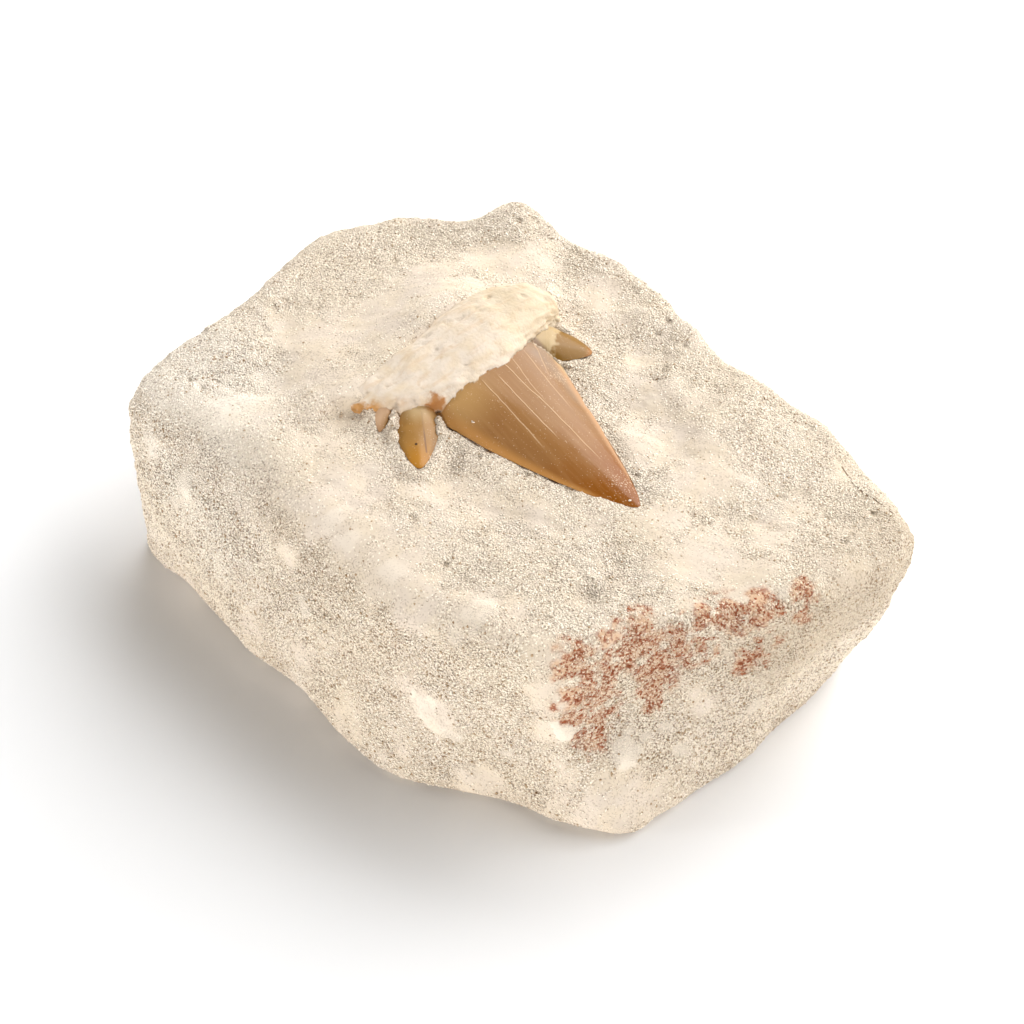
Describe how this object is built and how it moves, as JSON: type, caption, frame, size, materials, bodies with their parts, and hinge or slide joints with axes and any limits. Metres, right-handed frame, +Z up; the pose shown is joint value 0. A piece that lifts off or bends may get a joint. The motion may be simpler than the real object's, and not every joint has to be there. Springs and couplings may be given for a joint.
{
  "type": "fossil shark tooth in its matrix",
  "caption": "Fossil shark tooth with a triangular crown, side cusplets and a pale root, lying half sunk in a rough block of sandy matrix that rests flat.",
  "frame": {"origin": "middle of the block's footprint, on its flat underside", "axes": "+Z up, +X along the block, towards the end that the tooth's tip points at, +Y across the block, away from the side that the tooth lies nearer to"},
  "size_m": [0.1216, 0.0866, 0.0455],
  "materials": {
    "tooth": "amber brown enamel with a low gloss, pale chalky root",
    "matrix": "matt, sandy, soft cream sandstone"
  },
  "bodies": {
    "root": {"tooth": "tooth", "matrix_block": "matrix"}
  },
  "joints": []
}
